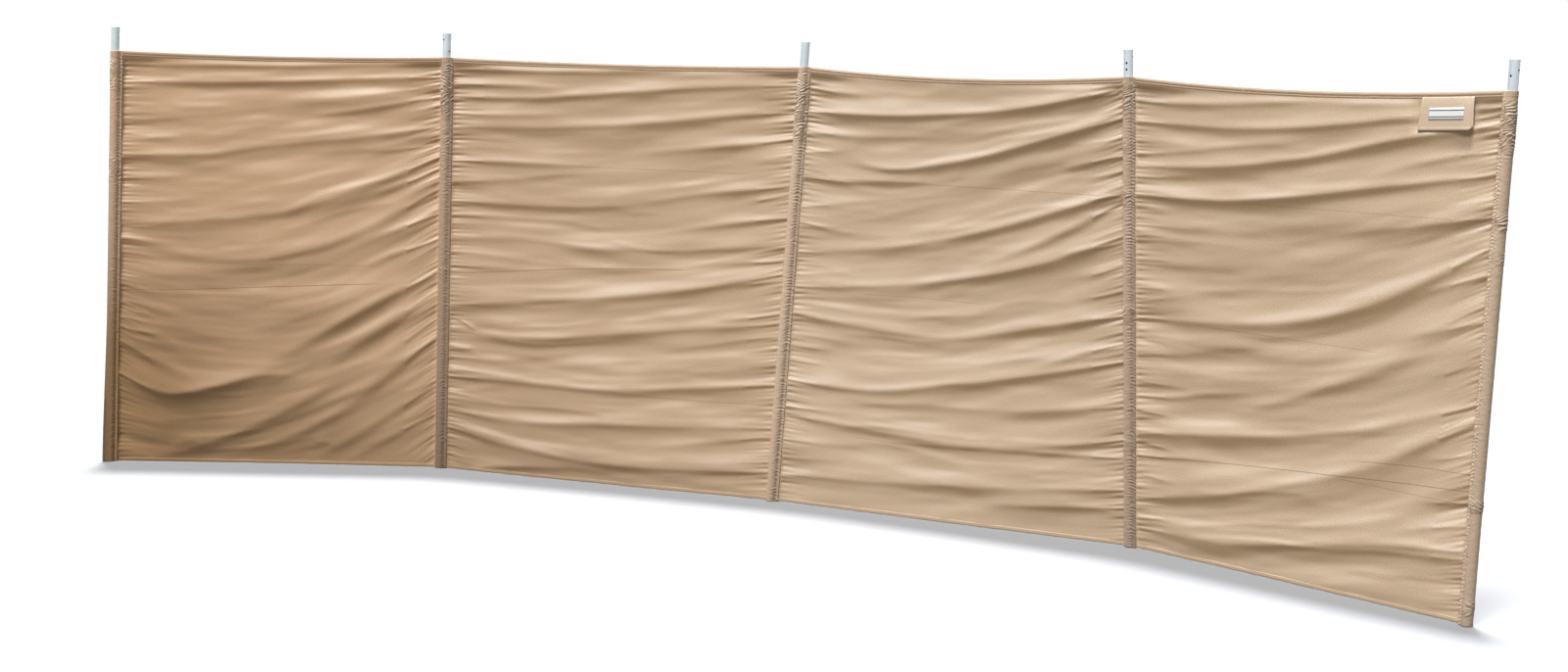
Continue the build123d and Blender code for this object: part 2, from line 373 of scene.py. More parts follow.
bay_folds[3] = [
    (0, 1, (98.2, 97.9, 97.9, 98, 98.4), (3, 4, 2), 8),
    (0, 0.3, (94.6, 93.7, 93.2, 93, 93), (4, 3, 0), 10),
    (0, 1, (88.6, 88, 89.2, 91.8, 97), (6, 7, 8), 12),
    (0.85, 1, (93.5, 94.3, 95, 95.5, 95.9), (0, 4, 4), 7),
    (0, 0.5, (83.6, 82.9, 82.8, 83.2, 84.2), (4, 3, 0), 12),
    (0, 0.18, (78.6, 78.8, 79, 79.4, 79.8), (3, 2, 0), 10),
    (0.08, 1, (76.8, 75.3, 78.6, 83.9, 90), (2, 7, 7), 13),
    (0.8, 1, (76.8, 78, 79.3, 80.5, 81.4), (0, 3, 4), 9),
    (0, 0.5, (72.7, 71.9, 72.2, 72.5, 72.5), (5, 4, 0), 9),
    (0, 0.5, (65.4, 66.4, 67.8, 69, 69.8), (3, 2, 0), 12),
    (0, 0.35, (62.1, 60.6, 59.8, 59.9, 60.3), (3, 2.5, 0), 13),
    (0.1, 1, (54.8, 57.4, 61.4, 66.8, 73.2), (2, 6, 7), 14),
    (0.88, 1, (70.5, 71.2, 71.8, 72.2, 72.4), (0, 3, 3), 5),
    (0.5, 1, (52.8, 56, 60.3, 65.5, 71.4), (1, 5, 4), 11),
    (0, 1, (46.8, 48, 50.8, 55.5, 63.6), (4, 7, 5), 14),
    (0.8, 1, (58, 59, 60, 61, 62), (0, 3, 3), 8),
    (0.85, 1, (53, 54, 55, 56, 57), (0, 3, 3), 8),
    (0.85, 1, (48.5, 49.2, 50, 50.8, 51.6), (0, 2.5, 2.5), 8),
    (0.3, 0.62, (41, 41.9, 42.8, 43.5, 44), (0, 2, 0), 7),
    (0, 1, (40.7, 38.7, 37.9, 42, 46.4), (4, 5, 7), 15),
    (0, 0.3, (36, 35.8, 35.5, 35.2, 35), (2.5, 2, 0), 11),
    (0.7, 1, (32.3, 34.3, 36.6, 38.8, 40.7), (0, 4, 4), 10),
    (0, 0.15, (33.5, 33.4, 33.3, 33.2, 33.1), (3, 2, 0), 8),
    (0, 0.12, (30.3, 30.2, 30.1, 30, 29.9), (3, 2, 0), 7),
    (0, 1, (26, 25.1, 28.3, 31.9, 36.8), (5, 7, 7), 13),
    (0.6, 1, (22.3, 23.5, 24.8, 26.2, 27.5), (0, 4, 3), 15),
    (0, 0.25, (20.4, 20.1, 20, 20, 20), (4, 2, 0), 6),
    (0, 1, (18.4, 17, 15.9, 17.1, 20.7), (4, 6, 5), 14),
    (0.3, 1, (15.2, 15.4, 15.9, 16.5, 17.1), (2, 3, 3), 6),
    (0, 0.3, (13.2, 13, 12.8, 13, 13.3), (3, 2, 0), 11),
    (0, 0.2, (9.3, 9.4, 9.5, 9.6, 9.8), (2, 1.5, 0), 9),
    (0, 1, (5.6, 6.1, 7.2, 8.7, 10.8), (3, 4, 4), 13),
    (0.55, 1, (4.2, 4.8, 5.5, 6.4, 7.2), (0, 3, 3), 10),
]
bay_folds[4] = [
    (0, 0.8, (98.3, 98.4, 98.5, 98.4, 98.2), (3, 3, 2), 7),
    (0, 0.85, (95.1, 95.1, 96, 97.2, 98), (4, 3, 3), 10),
    (0, 1, (91.4, 90.7, 91.6, 94, 97.2), (4, 6, 5), 12),
    (0, 0.6, (85, 85.8, 87.4, 88.6, 89.5), (3, 3, 0), 11),
    (0, 1, (82.6, 83.2, 85.8, 90.2, 94), (4, 8, 7), 13),
    (0, 0.25, (80.4, 80.6, 81, 81.5, 82), (3, 2, 0), 9),
    (0, 1, (76.8, 76.7, 78.9, 82, 85.4), (8, 8, 4), 11),
    (0.62, 1, (81.8, 84.2, 86.4, 88.2, 89.5), (0, 4, 4), 11),
    (0.55, 1, (72.3, 73.2, 74.5, 76.2, 77.9), (0, 4, 6), 14),
    (0, 0.4, (71, 70.9, 70.8, 70.9, 71.2), (2.5, 1.5, 0), 11),
    (0, 0.4, (67.9, 68, 68.2, 68.5, 69), (3, 2, 0), 13),
    (0, 0.4, (62.9, 63, 63.4, 64, 64.5), (3, 2, 0), 13),
    (0, 0.4, (58, 58.2, 58.6, 59, 59.4), (3, 2, 0), 12),
    (0, 0.2, (55, 55.6, 56.4, 57, 57.5), (2.5, 2, 0), 9),
    (0, 1, (51.6, 52.1, 54.6, 61.2, 72.5), (7, 7, 7), 15),
    (0.78, 1, (61, 62.9, 64.6, 66.2, 67.8), (0, 4, 4), 9),
    (0.82, 1, (54.2, 56.2, 58.2, 60.2, 62), (0, 3, 3), 8),
    (0.68, 1, (50.5, 53, 55.2, 57.2, 59.2), (0, 4, 4), 12),
    (0.85, 1, (46.5, 47.7, 49, 50.3, 51.6), (0, 3, 3), 8),
    (0, 0.2, (47.5, 47.2, 46.9, 46.6, 46.5), (3, 2, 0), 9),
    (0, 0.55, (44, 44.8, 46.8, 48.8, 49.6), (4, 4, 0), 13),
    (0.25, 0.9, (32.8, 36.8, 41.8, 47.5, 53), (1, 8, 3), 15),
    (0, 0.18, (38.2, 38, 37.9, 37.9, 38), (3, 2, 0), 8),
    (0, 0.42, (34.8, 35.3, 36.9, 38.3, 39.5), (5, 5, 0), 10),
    (0, 0.15, (31.8, 31.6, 31.4, 31.3, 31.2), (3, 2, 0), 8),
    (0, 1, (26.4, 28.6, 31.5, 36.2, 43.5), (4, 4, 7), 13),
    (0, 0.15, (24.5, 24.4, 24.2, 24, 23.9), (3, 2, 0), 6),
    (0, 0.35, (21.4, 22, 22.8, 23.3, 23.8), (5, 3, 0), 6),
    (0.85, 1, (30.5, 31.4, 32.3, 33.2, 34), (0, 3, 3), 8),
    (0, 0.15, (17.5, 17.3, 17, 16.8, 16.5), (3, 2, 0), 8),
    (0, 1, (11.4, 15.2, 21, 28.8, 40), (5, 8, 7), 18),
    (0.78, 1, (15, 16.5, 17.8, 18.9, 20), (0, 4, 4), 10),
    (0.85, 1, (22.5, 23, 23.5, 24, 24.3), (0, 3, 3), 7),
    (0, 1, (5, 4.8, 7.9, 12, 14.6), (4, 8, 5), 15),
    (0.6, 1, (3.8, 5.2, 6.4, 7.4, 8.2), (0, 3, 2), 12),
]

# Thin lines from storage creases, whose shade is painted dark along them, from the lowest up: start, end,
# heights at five stations, strength
storage_lines = {
    1: [(0, 0.85, (41.8, 42.3, 43.2, 44, 44.8), 1), (0.25, 0.85, (49.1, 48.9, 48.9, 48.9, 49), 0.4)],
    2: [
        (0.5, 1, (23, 22.8, 22.8, 22.9, 23), 0.5),
        (0, 0.75, (49.4, 50.8, 52.2, 53.1, 53.8), 0.9),
        (0.3, 0.9, (76.2, 76.2, 76.2, 76.2, 76.2), 0.45),
    ],
    3: [
        (0.2, 0.6, (15.5, 15.1, 15.1, 15.3, 15.5), 0.5),
        (0.2, 0.6, (46.5, 46.6, 46.7, 46.5, 46.4), 0.45),
        (0, 1, (72.8, 72.6, 72.5, 72.4, 72.3), 0.45),
    ],
    4: [
        (0.62, 1, (24.6, 24.5, 24.3, 24.1, 23.8), 0.45),
        (0, 1, (21.4, 23.1, 24.5, 25.8, 26.8), 0.8),
        (0.66, 1, (28.7, 29.4, 29.8, 30, 30.1), 0.65),
        (0.2, 0.75, (51.6, 51.5, 51.3, 51.2, 51), 0.4),
        (0.3, 1, (77, 77, 77.1, 77.1, 77.2), 0.35),
    ],
}

# How steeply the puckers run at the left and at the right seam, at five heights from the ground up
pucker_slopes = {
    1: ((0.1, -0.6, -0.1, 0, 0), (0.75, 0.7, 0.6, 0.4, 0.12)),
    2: ((-0.2, -0.05, 0, 0, 0), (0.1, 0.15, 0.25, 0.18, 0.08)),
    3: ((0, -0.1, 0, -0.1, -0.1), (0.15, 0.25, 0.3, 0.35, 0.4)),
    4: ((0.05, 0.1, 0.05, 0, -0.05), (0.15, 0.4, 0.5, 0.35, 0.2)),
}

# Lines that the small ripples run along where no long fold leads them, heights at five stations
ripple_lines = {
    1: [(34, 30, 29, 36, 49), (12, 8, 11, 19, 31), (-2, -7, -5, 2, 11)],
    2: [(-2, -5, -6, -5, -4)],
    3: [(-3, -3, -3, -2, -1)],
    4: [(-4, -5, -3, 0, 2)],
}

# The heights in these lists are read as if the poles were parallel, and this much sets them right
pole_splay = {1: 0.014, 2: -0.06, 3: 0.12, 4: -0.088}

# How deep the folds are at a fifth, a half and four fifths of each bay's height, as shares of those above
fold_depths = {1: (0.76, 1.0, 1.0), 2: (0.82, 0.88, 1.10), 3: (1.0, 1.05, 1.30), 4: (0.84, 0.72, 1.08)}

# Where the cloth is bunched on each pole: height of the middle, half the height it takes up, strength
bunches = {
    1: ((1.33, 0.06, 0.8), (1.00, 0.05, 0.6)),
    2: ((1.29, 0.09, 1.0), (1.10, 0.10, 0.45), (0.68, 0.012, 0.5)),
    3: ((1.26, 0.11, 1.0), (0.67, 0.015, 0.35)),
    4: ((1.34, 0.05, 0.9), (1.20, 0.04, 0.4), (1.045, 0.022, 1.0), (0.70, 0.025, 1.0), (0.31, 0.018, 0.7)),
    5: ((1.305, 0.065, 1.0), (1.06, 0.020, 0.9), (0.97, 0.02, 0.4), (0.32, 0.016, 0.9), (0.05, 0.02, 0.7)),
}


def soft_step(value):
    """0 below 0, 1 above 1, and smooth between."""
    value = np.clip(value, 0, 1)
    return value * value * (3 - 2 * value)


def through(stations, share):
    """Smooth line through equally spaced stations, at shares of its length."""
    points = np.array([2 * stations[0] - stations[1], *stations, 2 * stations[-1] - stations[-2]], float)
    place = np.clip(share, 0, 1) * (len(stations) - 1)
    index = np.minimum(place.astype(int), len(stations) - 2)
    part = place - index
    before, here, after, beyond = (points[index + shift] for shift in range(4))
    bend = 2 * before - 5 * here + 4 * after - beyond + part * (3 * (here - after) + beyond - before)
    return here + 0.5 * part * (after - before + part * bend)


def fold_line(bay, heights, share):
    """Height along a fold, from its heights at five stations, in hundredths of the cloth's height."""
    heights = np.array(heights, float) / 100
    return 100 * through(heights + pole_splay[bay] * heights * (1 - heights), share)


def smooth_noise(random, u, v):
    """Smooth random values from -1 to 1, one lattice cell to each unit of u and v."""
    lattice = random.uniform(-1, 1, (int(u.max()) + 3, int(v.max()) + 3))
    cell_u, cell_v = u.astype(int), v.astype(int)
    part_u, part_v = soft_step(u - cell_u), soft_step(v - cell_v)
    low, high = (
        lattice[cell_u, cell_v + step] * (1 - part_u) + lattice[cell_u + 1, cell_v + step] * part_u
        for step in (0, 1)
    )
    return low * (1 - part_v) + high * part_v


def along_folds(bay, share, level):
    """Height that follows the lie of the folds: it is the same all along a fold."""
    lines = [heights for first, last, heights, depths, width in bay_folds[bay] if first <= 0.1 and last == 1]
    above_top = (106, 105, 104, 105, 106)
    lines = sorted(lines + ripple_lines[bay] + [above_top], key=sum)
    found = np.full(share.shape, sum(lines[0]) / 5)
    lower = fold_line(bay, lines[0], share)
    for first, second in zip(lines, lines[1:]):
        upper = np.maximum(fold_line(bay, second, share), lower + 0.5)
        part = np.clip((level - lower) / (upper - lower), 0, 1)
        found += part * (sum(second) - sum(first)) / 5
        lower = upper
    return found


def billow(bay, share, height):
    """Broad curve of a bay's cloth out of its plane, which its hems follow too."""
    belly = np.sin(pi * share)
    level = height / CLOTH_TOP
    if bay == 1:
        return belly * (0.016 * np.sin(pi * np.clip(level, 0, 1)) - 0.012 * soft_step((0.25 - level) / 0.25))
    return belly * 0.010 * np.sin(pi * level + bay)


def top_edge(bay, share):
    """Height of a bay's top edge, which sags between its poles."""
    return CLOTH_TOP - 4 * TOP_SAG[bay] * share * (1 - share)


def bunching(pole, height):
    """How much the cloth is bunched at heights on a pole, from 0 to 1."""
    bunched = np.zeros_like(height)
    for middle, half, strength in bunches[pole]:
        bunched = np.maximum(bunched, strength * np.exp(-(((height - middle) / half) ** 4)))
    return bunched


def crease(above, rounding, fall_above, fall_below):
    """Relief of a crease, 1 at its crest, at distances above it in shares of its width."""
    crest = np.sqrt(above * above + rounding * rounding) - rounding
    return np.exp(-crest / np.where(above > 0, fall_above, fall_below))


def fold_relief(bay, share, level, to_seam):
    """Relief of a bay's long folds, which narrow and flatten towards the seams."""
    relief = np.zeros_like(share)
    narrow = 0.34 + 0.66 * soft_step(to_seam / 0.26)
    shallow = 0.42 + 0.58 * soft_step(to_seam / 0.20)
    shallow = shallow * np.interp(level, (20, 50, 80), fold_depths[bay])
    for first, last, heights, depths, fold_width in bay_folds[bay]:
        along = (share - first) / (last - first)
        inside = (along >= 0) & (along <= 1)
        taper = soft_step(along / 0.25) if first > 0 else 1
        if last < 1:
            taper = taper * soft_step((1 - along) / 0.25)
        depth = np.interp(along, (0, 0.5, 1), depths) * FOLD_STRENGTH * MM * taper * shallow * inside
        spread = fold_width * MM * narrow
        above = (level - fold_line(bay, heights, along)) / 100 * CLOTH_TOP / spread - 0.6
        relief += depth * crease(above, rounding=0.4, fall_above=2.9, fall_below=1.25)
    return relief


def pucker_relief(random, bay, side, distance, height):
    """Relief of the puckers beside a seam, where the gathered edge is held; side is 0 left or 1 right."""
    relief = np.zeros_like(height)
    shift = distance * through(pucker_slopes[bay][side], height / CLOTH_TOP) * (-1, 1)[side]
    pucker_height = 0.012
    while pucker_height < 1.39:
        gap = random.uniform(0.009, 0.020)
        size = random.uniform(0.55, 1.1)
        reach = random.uniform(0.04, 0.13)
        above = (height + shift - pucker_height) / (gap * (0.34 + 0.9 * distance / 0.12))
        dip = crease(above, rounding=0.3, fall_above=0.6, fall_below=1.3)
        size = size * (1 + 1.2 * bunching(bay + side, np.array(pucker_height)).item())
        relief -= PUCKER_DEPTH * gap * size * dip * np.exp(-((distance / reach) ** 1.4))
        pucker_height += gap
    return relief * (distance < PUCKER_REACH)


def ripple_relief(random, bay, share, level):
    """Relief of the ripples along the folds, in three sizes, and of sharper crumples."""
    lie = along_folds(bay, share, level) / 100 + 0.2
    relief = np.zeros_like(share)
    for size, cells_along, cells_up in ((0.0030, 4, 24), (0.0014, 7, 47), (0.0005, 14, 95)):
        relief += size * smooth_noise(random, share * cells_along, lie * cells_up)
    wander = lie + 0.02 * smooth_noise(random, share * 3 + 1, lie * 6)
    crumple = 1 - np.abs(smooth_noise(random, share * 3, wander * 22))
    return relief + 0.0035 * np.clip(crumple - 0.5, 0, 1) ** 1.5


def cloth_out(bay, share, height, width):
    """How far a bay's cloth stands out to the front, in metres, at shares along and heights up it."""
    random = np.random.default_rng(40 + bay)
    level = 100 * height / CLOTH_TOP
    from_left = share * width
    from_right = (1 - share) * width
    to_seam = np.minimum(from_left, from_right)
    out = fold_relief(bay, share, level, to_seam)
    for side, distance in enumerate((from_left, from_right)):
        out += pucker_relief(random, bay, side, distance, height)
    out += ripple_relief(random, bay, share, level)
    # The seams and hems hold the cloth in its plane, and so does the label flap
    seam_hold = 0.25 + 0.75 * soft_step(to_seam / 0.010)
    top = top_edge(bay, share) - TOP_HEM
    edge_hold = 0.1 + 0.9 * soft_step((top - height) / 0.018)
    foot_hold = 0.75 + 0.25 * soft_step((height - 0.015) / 0.10)
    if bay == LAST_BAY:
        over = soft_step((from_right - FLAP_FROM_EDGE + 0.02) / 0.02)
        over = over * soft_step((FLAP_FROM_EDGE + FLAP_WIDTH + 0.02 - from_right) / 0.02)
        over = over * soft_step((height - top + FLAP_DROP + 0.01) / 0.03)
        out = out * (1 - 0.7 * over) - 0.002 * over
    out = (out - 0.004) * seam_hold * edge_hold * foot_hold
    return out + billow(bay, share, height)


def bay_edges(bay):
    """Distances from the two pole axes to a bay's cloth."""
    return BAND_END - 0.001, BAND_END - 0.001 if bay == LAST_BAY else SLEEVE_EDGE


def bay_width(bay):
    """Width of a bay's cloth between its seams."""
    return np.linalg.norm(pole_feet[bay] - pole_feet[bay - 1]) - sum(bay_edges(bay))


def bay_point(bay, share, height, out):
    """Points in a bay: at shares between its edges, at heights, and out to the front."""
    along, front = bay_directions(bay)
    left, right = bay_edges(bay)
    start = pole_point(bay, height) + along * left
    finish = pole_point(bay + 1, height) - along * right
    return start + (finish - start) * share[..., None] + front * out[..., None]


def cloth_piece(name, points, faces, cloth_uv):
    """New piece from points and faces, with its own cloth map in metres, given at its points."""
    mesh = bpy.data.meshes.new(name)
    mesh.from_pydata(points.reshape(-1, 3).tolist(), [], faces)
    corners = np.array([corner for face in faces for corner in face])
    layer = mesh.uv_layers.new(name="cloth")
    layer.data.foreach_set("uv", cloth_uv.reshape(-1, 2)[corners].astype(np.float32).ravel())
    mesh.polygons.foreach_set("use_smooth", np.ones(len(mesh.polygons), bool))
    piece = bpy.data.objects.new(name, mesh)
    bpy.context.scene.collection.objects.link(piece)
    return piece


def grid_index(points):
    """Point numbers of a grid of points, in its own rows and columns."""
    return np.arange(points[..., 0].size).reshape(points.shape[:2])


def grid_faces(index):
    """Quads over a grid of point numbers."""
    quads = np.stack([index[:-1, :-1], index[:-1, 1:], index[1:, 1:], index[1:, :-1]], axis=-1)
    return quads.reshape(-1, 4).tolist()


def only(piece):
    """Selects one piece and nothing else."""
    bpy.ops.object.select_all(action="DESELECT")
    piece.select_set(True)
    bpy.context.view_layer.objects.active = piece


def thicken(piece, thickness):
    """Gives a sheet its thickness."""
    only(piece)
    modifier = piece.modifiers.new("thickness", "SOLIDIFY")
    modifier.thickness = thickness
    modifier.offset = 0.0
    bpy.ops.object.modifier_apply(modifier=modifier.name)


def keep_values(piece, name, values):
    """Keeps a value at each point of a piece, for its material."""
    attribute = piece.data.attributes.new(name, "FLOAT", "POINT")
    attribute.data.foreach_set("value", values.astype(np.float32).ravel())


def note_slopes(piece):
    """Keeps how far each point of a sheet faces up, for the painted highlight and shade on its slopes."""
    normals = np.empty(3 * len(piece.data.vertices), np.float32)
    piece.data.vertex_normals.foreach_get("vector", normals)
    keep_values(piece, "upward", normals[2::3])


PANEL_ROWS = 236
SEAM_STRIP = 0.127     # width beside a seam where the points are closer


def panel_grid(width):
    """Shares and rows of a panel's points, with twice the rows beside its seams, and the faces over them."""
    strip = np.concatenate([(0, 0.003, 0.007), np.arange(0.012, 0.1141, 0.0057)]) / width
    middle_columns = round((width - 2 * SEAM_STRIP) / 0.0185)
    middle = np.linspace(SEAM_STRIP / width, 1 - SEAM_STRIP / width, middle_columns)
    fine_rows = 2 * PANEL_ROWS - 1
    points = np.empty((2, 0))
    grids = []
    faces = []
    for columns, levels in ((strip, fine_rows), (middle, PANEL_ROWS), (1 - strip[::-1], fine_rows)):
        grid = np.array(np.meshgrid(columns, np.linspace(0, 1, levels)))
        grids.append(points.shape[1] + np.arange(grid[0].size).reshape(grid[0].shape))
        faces += grid_faces(grids[-1])
        points = np.concatenate([points, grid.reshape(2, -1)], axis=1)
    left, centre, right = grids
    for row in range(PANEL_ROWS - 1):
        near = left[2 * row:2 * row + 3, -1].tolist()
        faces.append([near[0], *centre[row:row + 2, 0].tolist(), near[2], near[1]])
        far = right[2 * row:2 * row + 3, 0].tolist()
        faces.append([centre[row, -1].item(), *far, centre[row + 1, -1].item()])
    return *points, faces


def lines_on(bay, share, height):
    """Distance from the nearest storage line of a bay, in metres, and how strong it is there."""
    distance = np.full(share.shape, 1.0)
    strength = np.zeros(share.shape)
    for number, (first, last, heights, line_strength) in enumerate(storage_lines[bay]):
        along = (share - first) / (last - first)
        # Its sign turns from line to line, so that it is never zero between two lines
        away = (height - fold_line(bay, heights, along) / 100 * CLOTH_TOP) * (-1) ** number
        near = (np.abs(away) < np.abs(distance)) & (along > -0.02) & (along < 1.02)
        distance = np.where(near, away, distance)
        ends = soft_step(along / 0.1 + (first == 0)) * soft_step((1 - along) / 0.1 + (last == 1))
        strength = np.where(near, line_strength * ends, strength)
    return distance, strength


panel_edges = {}
for bay in BAYS:
    width = bay_width(bay)
    share, row, faces = panel_grid(width)
    # The foot is tucked into its hem
    low = GROUND_GAP + BOTTOM_HEM - 0.007
    height = low + (top_edge(bay, share) - TOP_HEM + 0.001 - low) * row
    out = cloth_out(bay, share, np.maximum(height, GROUND_GAP + BOTTOM_HEM), width)
    for edge, at_edge in (("foot", row == 0), ("top", row == 1)):
        order = np.argsort(share[at_edge])
        panel_edges[bay, edge] = share[at_edge][order], out[at_edge][order]
    cloth_uv = np.stack([share * width, height], axis=-1)
    panel = cloth_piece(f"canvas_panel_{bay}", bay_point(bay, share, height, out), faces, cloth_uv)
    distance, strength = lines_on(bay, share, height)
    keep_values(panel, "storage_line", distance)
    keep_values(panel, "line_strength", strength)
    note_slopes(panel)
    thicken(panel, 0.0008)
    give_material(panel, tan_canvas[bay])
    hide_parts(f"panel_{bay}")
    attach(panel, f"bay_{bay}")

# ---------------- sleeves
# A strip of the same canvas is folded round each pole and sewn through itself, which leaves a flat band of
# stitching beside the pole, where the next bay's edge is gathered in. The tops have slid down and bunched.

SLEEVE_RADIUS = 0.0154
SLEEVE_BORE = 0.0143
STITCH_PITCH = 0.0046
CREASE_GAP = 0.0095
CREASE_SLANT = 0.65    # rise of a crease across the tube
BUMP_GAP = 0.0097
# How many of the creases rise to the right
rising_creases = {1: -0.3, 2: 0.1, 3: 0.9, 4: 0.4, 5: 0.2}
# Light and shade painted on each sleeve: how light its left side, its right side and its sewn band are, at
# the head and the foot
sleeve_painted_tones = {
    1: ((1.03, 1.08, 1.00), (0.72, 1.10, 1.10)),
    2: ((1.10, 1.06, 0.86), (0.80, 0.93, 0.83)),
    3: ((1.08, 0.93, 0.92), (1.03, 0.87, 0.95)),
    4: ((1.18, 0.85, 0.92), (1.06, 0.79, 0.83)),
    5: ((1.15, 0.88, 1.06), (1.00, 0.90, 1.00)),
}
# Depth of the canvas of each tube and of each band; the bands' depths are partly painted shade, darker
# where the tube beside a band shades it
sleeve_depths = {1: (1.06, 0.96), 2: (0.77, 0.76), 3: (1.05, 0.86), 4: (1.00, 0.80), 5: (1.02, 1.10)}

# Near-black canvas for painted shade on the outer side of the first sleeve's foot
painted_shade_canvas = canvas_material("painted_shade_canvas", depth=0.34)
thread, tree, shader = new_material("seam_thread", {"Roughness": 0.7, "Sheen Weight": 0.2})
place = add_node(tree, "ShaderNodeTexCoord").outputs["Object"]
tone = mix_colours(tree, noise_node(tree, place, 900.0, 2.0), (0.42, 0.31, 0.20, 1), (0.62, 0.49, 0.35, 1))
tree.links.new(tone, shader.inputs["Base Color"])


def stitch_row(name, places, outward, along=None):
    """One row of stitches: small drawn-out grains of thread lying along a seam."""
    if along is None:
        along = np.gradient(places, axis=0)
        along = along / np.linalg.norm(along, axis=1)[:, None]
    side = np.cross(along, outward)
    reaches = (along * 0.0016, side * 0.00045, outward * -0.0004)
    corners = np.stack([places + sign * reach for reach in reaches for sign in (-1, 1)], axis=1)
    sides = ((0, 2, 4), (2, 1, 4), (1, 3, 4), (3, 0, 4), (2, 0, 5), (1, 2, 5), (3, 1, 5), (0, 3, 5))
    faces = [[6 * number + corner for corner in face] for number in range(len(places)) for face in sides]
    row = cloth_piece(name, corners, faces, np.zeros((6 * len(places), 2)))
    give_material(row, thread)
    return row


def join_all(piece, others):
    """Joins other pieces to a piece."""
    only(piece)
    for other in others:
        other.select_set(True)
    bpy.ops.object.join()


def turn_outwards(piece):
    """Makes all faces of a closed piece look outwards."""
    only(piece)
    bpy.ops.object.mode_set(mode="EDIT")
    bpy.ops.mesh.select_all(action="SELECT")
    bpy.ops.mesh.normals_make_consistent(inside=False)
    bpy.ops.object.mode_set(mode="OBJECT")


# The same outline for all five: along the band's front from its edge to the tube, round the tube, and back
# along the band's back, as distances from the axis towards the band and out to the front
band_half = [(0.0260, 0.0013), (0.0235, 0.0017), (0.0210, 0.0019), (0.0188, 0.0021), (0.0168, 0.0027)]
turns = [24, 38, 52, 66, 80, 94, 108, 122, 136, 150, 165, 182, 200, 220, 242, 265, 290, 315, 336]
turns = np.radians(turns)
section = band_half + [(SLEEVE_RADIUS * cos(turn), SLEEVE_RADIUS * sin(turn)) for turn in turns]
section = np.array(section + [(reach, -out) for reach, out in band_half[::-1]])
inner = section * SLEEVE_BORE / np.linalg.norm(section, axis=1)[:, None]
columns = len(section)
normals = np.stack([np.gradient(section[:, 1]), -np.gradient(section[:, 0])], axis=1)
normals = normals / np.linalg.norm(normals, axis=1)[:, None]
girth = np.concatenate([(0,), np.cumsum(np.linalg.norm(np.diff(section, axis=0), axis=1))])
# Rows of points are two millimetres apart low down, and closer where the cloth is bunched
heights = np.concatenate([np.arange(GROUND_GAP, 0.95, 0.0020), np.linspace(0.95, CLOTH_TOP, 350)])
distance, height = np.meshgrid(girth, heights)
towards_band = section[:, 0] + 0 * height


def sleeve_swell(pole, side):
    """How far a sleeve's canvas stands off its outline, in metres."""
    random = np.random.default_rng(70 + pole)
    bunched = bunching(pole, height)
    # Small creases cross the tube slantwise, some rising to the right and some falling
    rightwards = (girth[len(band_half) + 5] - distance) * side
    drift = 0.9 * smooth_noise(random, distance / 0.030, height / 0.024)
    drift = drift + 0.4 * smooth_noise(random, distance / 0.012, height / 0.011)
    rising = np.sin(2 * pi * ((height - CREASE_SLANT * rightwards) / CREASE_GAP + drift))
    falling = np.sin(2 * pi * ((height + CREASE_SLANT * rightwards) / CREASE_GAP + drift + 0.3))
    which = smooth_noise(random, rightwards / 0.030, height / 0.035) * 2.2 + rising_creases[pole]
    which = soft_step(0.5 + 2 * which)
    creases = (0.5 + 0.5 * (rising * which + falling * (1 - which))) ** 0.7
    creases = creases * (0.75 + 0.25 * smooth_noise(random, distance / 0.014, height / 0.017))
    # The sewn side is gathered all the way down, in a row of small bumps
    sewn = soft_step((towards_band - 0.001) / 0.007)
    bumps = np.sin(2 * pi * ((height + 0.5 * np.abs(towards_band - 0.015)) / BUMP_GAP + 0.7 * drift))
    bumps = (0.5 + 0.5 * bumps) * (0.7 + 0.3 * smooth_noise(random, distance / 0.02, height / 0.02))
    fine = smooth_noise(random, distance / 0.008, height / 0.006)
    gathered = 0.0010 if pole <= 2 else 0.0015
    swell = 0.0046 * bunched * (creases - 0.18) + gathered * (1 - bunched) * sewn * bumps
    swell = swell + 0.0003 * (1 + fine)
    if pole == 1:
        # The foot of the first sleeve is splayed outwards
        splay = np.clip(-towards_band / SLEEVE_RADIUS, 0, 1) * soft_step((0.55 - height) / 0.55)
        swell = swell + 0.009 * splay
    hem_zone = soft_step((height - CLOTH_TOP + 0.0165) / 0.002)
    return swell * (1 - hem_zone) + 0.0009 * hem_zone


def painted_sleeve_tone(pole, side):
    """The light and shade painted over a sleeve's outline and height."""
    up = np.clip((height - 0.15) / 0.95, 0, 1)
    left, right, band = (low + (high - low) * up for high, low in zip(*sleeve_painted_tones[pole]))
    tone = left + (right - left) * np.clip(0.5 + 0.5 * side * towards_band / SLEEVE_RADIUS, 0, 1)
    return tone + (band - tone) * soft_step((towards_band - 0.0160) / 0.001)


def face_kinds(pole, face_count):
    """Material of each face of a sleeve: 0 tube, 1 band, 2 painted shade on the outer side of the first
    one's foot.
    """
    row, column = np.divmod(np.arange(face_count), columns)
    band_columns = len(band_half)
    kinds = ((column < band_columns) | (column >= columns - band_columns - 1)).astype(np.int32)
    if pole == 1:
        low = heights[np.minimum(row, len(heights) - 1)]
        outer = (column >= band_columns + 8 - (low < 0.22)) & (column <= band_columns + 15)
        kinds[(low < 0.46) & outer] = 2
    return kinds


